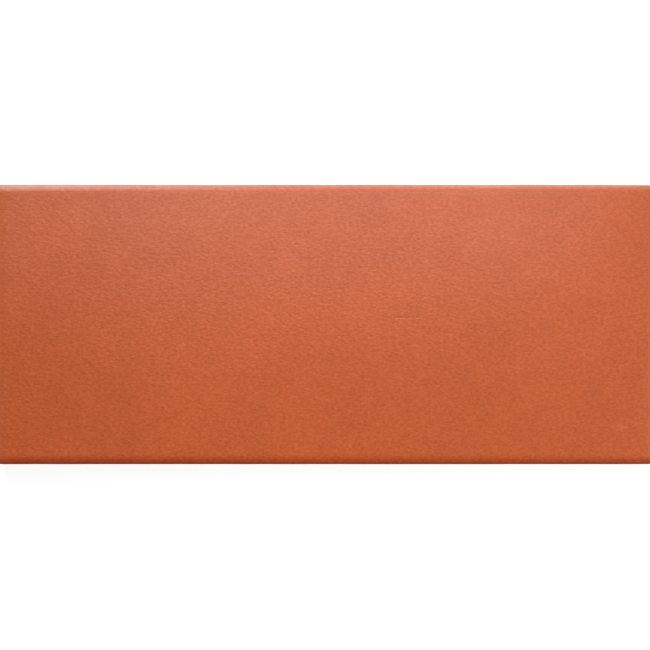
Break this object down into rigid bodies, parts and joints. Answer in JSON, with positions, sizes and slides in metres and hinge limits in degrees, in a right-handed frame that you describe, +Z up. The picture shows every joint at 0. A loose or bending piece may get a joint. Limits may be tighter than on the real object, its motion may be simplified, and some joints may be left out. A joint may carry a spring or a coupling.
{
  "type": "ceramic floor tile",
  "caption": "Plain rectangular floor tile of unglazed red clay, with a rolled arris along its long sides, a slighter one at its cut ends, and dovetail grooves along its back that key into the mortar bed.",
  "frame": {"origin": "middle of the bed, the plane that the ribs of the back stand on", "axes": "+X along the length and the grooves of the back, +Y across the width, +Z up out of the wear face"},
  "size_m": [0.28, 0.12, 0.012],
  "materials": {
    "fired_clay": "unglazed, fine wrinkled relief, low satin sheen"
  },
  "bodies": {
    "root": {"floor_tile": "fired_clay"}
  },
  "joints": []
}
